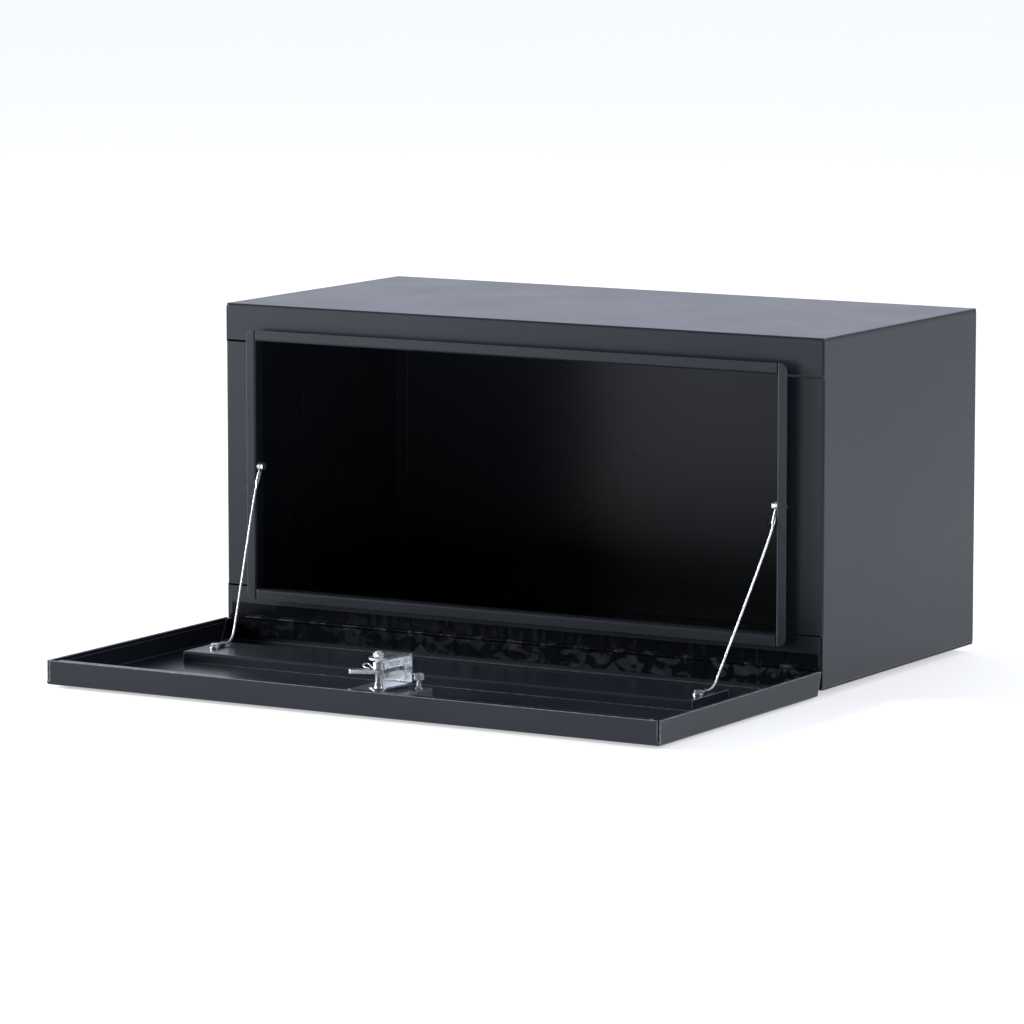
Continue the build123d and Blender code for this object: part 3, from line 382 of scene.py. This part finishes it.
CHROME = plated("lock_chrome", CHROME_PALE, CHROME_TINT, 0.08, 0.16, grain_depth=0.00001, metallic=1.0)
SPRING = plated("spring_wire", SPRING_PALE, SPRING_TINT, 0.28, 0.4, grain_depth=0.00002)
DISH = brushed_dish("brushed_stainless")
RUBBER = seal_rubber("seal_rubber")
ROPE = wire_rope("wire_rope")

LOOKS = [
    (COAT, "top_panel bottom_panel left_side_panel right_side_panel back_panel"),
    (DOOR_COAT_EDGE_HIGHLIGHT, "door_pan door_stiffener"),
    (BRACKET_COAT_PAINTED_REFLECTION, "latch_bracket"),
    (BOX_HINGE, "hinge_box_leaf"),
    (DOOR_HINGE, "hinge_door_leaf hinge_pin"),
    (ZINC, "latch_frame frame_spacer spindle_collar spindle_nut cam_arm stop_nut"),
    (ZINC, "anchor_bolts anchor_washers anchor_nuts lug_washers lug_bolts lug_nuts"),
    (ZINC, "left_cable_eye right_cable_eye left_cable_lug right_cable_lug dish_nuts"),
    (ZINC_SHANK, "spindle"),
    (ZINC_BOLT, "stop_bolt dish_screws"),
    (HANDLE, "t_handle handle_pin"),
    (CHROME, "lock_plug"),
    (DISH, "latch_dish"),
    (RUBBER, "dish_gasket"),
]


def dress_nodes():
    for material, names in LOOKS:
        for name in names.split():
            mesh = NODES[name].data
            mesh.materials.clear()
            mesh.materials.append(material)


dress_nodes()


# ---------------------------------------------------------------- smooth lines
def smooth_curve(name, points, resolution):
    """A curve that follows its points smoothly and reaches the first and last."""
    curve = bpy.data.curves.new(name, "CURVE")
    curve.dimensions = "3D"
    spline = curve.splines.new("NURBS")
    spline.points.add(len(points) - 1)
    for target, point in zip(spline.points, points):
        target.co = (*point, 1.0)
    spline.order_u = 3
    spline.use_endpoint_u = True
    spline.resolution_u = resolution
    return curve


def mesh_of(curve):
    holder = add_object(curve.name, curve)
    bpy.context.view_layer.update()
    mesh = bpy.data.meshes.new_from_object(holder)
    bpy.data.objects.remove(holder)
    return mesh


def smooth_points(name, points):
    """Points read off the smooth line of a route."""
    line = mesh_of(smooth_curve(name, points, 24))
    found = [v.co.copy() for v in line.vertices]
    bpy.data.meshes.remove(line)
    return found


def evenly(points, step):
    """The same line with points an equal distance apart, and its length."""
    reach = [0.0]
    for before, after in zip(points, points[1:]):
        reach.append(reach[-1] + (after - before).length)
    length = reach[-1]
    count = max(2, round(length / step))
    spaced = []
    i = 0
    for k in range(count + 1):
        at = length * k / count
        while i < len(reach) - 2 and reach[i + 1] < at:
            i += 1
        share = (at - reach[i]) / max(reach[i + 1] - reach[i], 1e-9)
        spaced.append(points[i].lerp(points[i + 1], share))
    return spaced, length


# ---------------------------------------------------------------- wire ropes
STRANDS = 6
ROPE_RADIUS = 0.0015
ROPE_LAY = 0.020
ROPE_SIDES = 36
ROPE_STEP = 0.0006
VALLEY_SHARE = 0.80
STRAND_FULLNESS = 0.7

EYE_X = 0.3952
RIGHT_LUG_X = 0.361
LEFT_LUG_X = 0.375
# Y and Z along the rope, from the eye's sleeve to the lug's.
SLEEVE_END = (-0.24420, 0.21489)
BELOW_SLEEVE = (-0.25090, 0.20037)
BEND_TOP = (-0.3300, 0.0290)
BEND_MIDDLE = (-0.3375, 0.0183)
BEND_FOOT = (-0.3480, 0.0124)
LUG_SLEEVE = (-0.3590, 0.0124)
BEND_OUTWARD = 0.0018


def rope_ring(centre, ahead, across, along):
    """One section of the rope: six strands about a core, turned by the rope's lay."""
    up = ahead.cross(across).normalized()
    across = up.cross(ahead).normalized()
    ring = []
    for k in range(ROPE_SIDES):
        angle = FULL_TURN * k / ROPE_SIDES
        strand = math.cos(STRANDS * (angle - FULL_TURN * along / ROPE_LAY) / 2)
        bulge = (1.0 - VALLEY_SHARE) * abs(strand) ** STRAND_FULLNESS
        radius = ROPE_RADIUS * (VALLEY_SHARE + bulge)
        ring.append(centre + (across * math.cos(angle) + up * math.sin(angle)) * radius)
    return ring, across


def rope_mesh(name, line):
    """Closed tube of stranded section along a line of points, with a map around and along it."""
    bm = bmesh.new()
    layer = bm.loops.layers.uv.new("rope")
    across = Vector((1.0, 0.0, 0.0))
    rings = []
    reach = 0.0
    for i, centre in enumerate(line):
        ahead = (line[min(i + 1, len(line) - 1)] - line[max(i - 1, 0)]).normalized()
        if i:
            reach += (centre - line[i - 1]).length
        ring, across = rope_ring(centre, ahead, across, reach)
        rings.append(([bm.verts.new(p) for p in ring], reach))
    for (near, near_reach), (far, far_reach) in zip(rings, rings[1:]):
        for k in range(ROPE_SIDES):
            after = (k + 1) % ROPE_SIDES
            face = bm.faces.new((near[k], near[after], far[after], far[k]))
            face.smooth = True
            places = ((k, near_reach), (k + 1, near_reach), (k + 1, far_reach), (k, far_reach))
            for loop, (side, length) in zip(face.loops, places):
                loop[layer].uv = (side / ROPE_SIDES, length)
    bm.faces.new(list(reversed(rings[0][0])))
    bm.faces.new(rings[-1][0])
    bmesh.ops.recalc_face_normals(bm, faces=bm.faces)
    mesh = bpy.data.meshes.new(name)
    bm.to_mesh(mesh)
    bm.free()
    return mesh


def add_cable(side, lug_x):
    """Wire rope from the eye on the box to the lug on the door."""
    outward = 1.0 if side == "right" else -1.0
    top = (outward * EYE_X, *SLEEVE_END)
    route = [
        top,
        (outward * EYE_X, *BELOW_SLEEVE),
        (outward * (lug_x + BEND_OUTWARD), *BEND_TOP),
        (outward * (lug_x + BEND_OUTWARD / 2), *BEND_MIDDLE),
        (outward * lug_x, *BEND_FOOT),
        (outward * lug_x, *LUG_SLEEVE),
    ]
    line, length = evenly(smooth_points(side + "_route", route), ROPE_STEP)
    name = side + "_wire_rope"
    cable = add_piece(name, rope_mesh(name, line), ROPE)
    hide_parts(side + "_cable")
    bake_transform(cable)


add_cable("right", RIGHT_LUG_X)
add_cable("left", LEFT_LUG_X)


# ---------------------------------------------------------------- spring
SPINDLE_AT = (0.003, -0.5755)
SPRING_LOW = 0.0423
SPRING_HIGH = 0.0503
SPRING_WIRE_RADIUS = 0.0009
# The smooth curve runs a little inside its points, so they stand a little outside the coil.
COIL_POINT_RADIUS = 0.0065 * 1.02
COIL_START = 230.5
COIL_END = 340.0 + 4 * 360.0
POINTS_PER_TURN = 16
# Each point of a leg is its angle about the spindle, its radius and its rise from the coil's end.
HOOKED_LEG = [
    (218, 0.0110, 0.0),
    (202, 0.0200, 0.0010),
    (182, 0.0230, 0.0036),
    (166, 0.0190, 0.0044),
    (186, 0.0110, 0.0022),
]
BEARING_LEG = [(35, 0.0150, 0.0), (58, 0.0295, -0.0008)]


def about_spindle(degrees, radius, height):
    angle = math.radians(degrees)
    return (
        SPINDLE_AT[0] + radius * math.cos(angle),
        SPINDLE_AT[1] + radius * math.sin(angle),
        height,
    )


def coil_points():
    count = round((COIL_END - COIL_START) / 360 * POINTS_PER_TURN)
    points = []
    for k in range(count + 1):
        share = k / count
        angle = COIL_START + (COIL_END - COIL_START) * share
        height = SPRING_LOW + (SPRING_HIGH - SPRING_LOW) * share
        points.append(about_spindle(angle, COIL_POINT_RADIUS, height))
    return points


def add_spring():
    """One wire: a leg hooked over the arm, the coil, and a leg that bears on the upright plate."""
    hooked = [about_spindle(degrees, radius, SPRING_LOW + rise) for degrees, radius, rise in HOOKED_LEG]
    bearing = [about_spindle(degrees, radius, SPRING_HIGH + rise) for degrees, radius, rise in BEARING_LEG]
    curve = smooth_curve("spring_wire", hooked + coil_points() + bearing, 6)
    curve.bevel_depth = SPRING_WIRE_RADIUS
    curve.bevel_resolution = 5
    curve.use_fill_caps = True
    mesh = mesh_of(curve)
    for face in mesh.polygons:
        face.use_smooth = True
    mesh.materials.clear()
    spring = add_piece("spring_coil", mesh, SPRING)
    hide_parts("torsion_spring")
    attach(spring, "door")


add_spring()


# ---------------------------------------------------------------- stage and light
FLOOR_HALF_WIDTH = 30.0
FLOOR_GAP = 0.0005
FLOOR_GLOW = 0.5
SURROUND_COLOUR = (0.81, 0.85, 1.0, 1.0)
# The surround's strength by direction: dark towards the front, bright towards the back.
SURROUND_FRONT = (-0.45, 0.07)
SURROUND_BACK = (0.5, 1.065)


def add_floor():
    """Pale floor just under the lowest part, glowing a little so that it stays near white."""
    f = Finish("pale_floor", specular=0.2)
    colour = f.mix(f.noise(scale=2.0), (0.90, 0.90, 0.90), (0.93, 0.93, 0.93))
    material = f.finish(colour, 0.8, f.bump(f.noise(scale=60.0), 0.0001, 0.3))
    f.shader.inputs["Emission Color"].default_value = (*WHITE, 1.0)
    f.shader.inputs["Emission Strength"].default_value = FLOOR_GLOW
    bm = bmesh.new()
    bmesh.ops.create_grid(bm, x_segments=4, y_segments=4, size=FLOOR_HALF_WIDTH)
    mesh = bpy.data.meshes.new("floor")
    bm.to_mesh(mesh)
    bm.free()
    floor = add_piece("floor", mesh, material)
    floor.location = (0.0, 0.0, CAD_BOX[0][2] - FLOOR_GAP)


def add_surround():
    """Pale world, brighter behind the box than in front of it."""
    world = bpy.data.worlds.new("studio")
    world.use_nodes = True
    tree = world.node_tree
    background = tree.nodes["Background"]
    background.inputs["Color"].default_value = SURROUND_COLOUR
    place = tree.nodes.new("ShaderNodeTexCoord")
    split = tree.nodes.new("ShaderNodeSeparateXYZ")
    span = tree.nodes.new("ShaderNodeMapRange")
    for end, (direction, strength) in (("Min", SURROUND_FRONT), ("Max", SURROUND_BACK)):
        span.inputs["From " + end].default_value = direction
        span.inputs["To " + end].default_value = strength
    tree.links.new(place.outputs["Generated"], split.inputs["Vector"])
    tree.links.new(split.outputs["Y"], span.inputs["Value"])
    tree.links.new(span.outputs["Result"], background.inputs["Strength"])
    SCENE.world = world


def add_area(name, power, size, at, towards, tint=WHITE):
    data = bpy.data.lights.new(name, "AREA")
    data.energy = power
    data.shape = "RECTANGLE"
    data.size, data.size_y = size
    data.color = tint
    light = add_object(name, data)
    light.location = at
    light.rotation_euler = (Vector(towards) - Vector(at)).to_track_quat("-Z", "Y").to_euler()


def light_stage():
    """A broad key and a weak front light, both from the left, and a small fill on the right."""
    add_area("key", power=870.0, size=(2.8, 2.8), at=(-6.8, -3.3, 2.0), towards=(0.0, -0.2, 0.2))
    add_area(
        "front",
        power=42.0,
        size=(2.0, 1.4),
        at=(-4.0, -4.9, 0.8),
        towards=(0.1, 0.0, 0.2),
        tint=(0.93, 0.96, 1.0),
    )
    add_area("side", power=31.0, size=(1.6, 1.6), at=(3.2, 0.2, 1.4), towards=(0.4, 0.0, 0.2))


add_floor()
add_surround()
SCENE.view_settings.view_transform = "Standard"
light_stage()
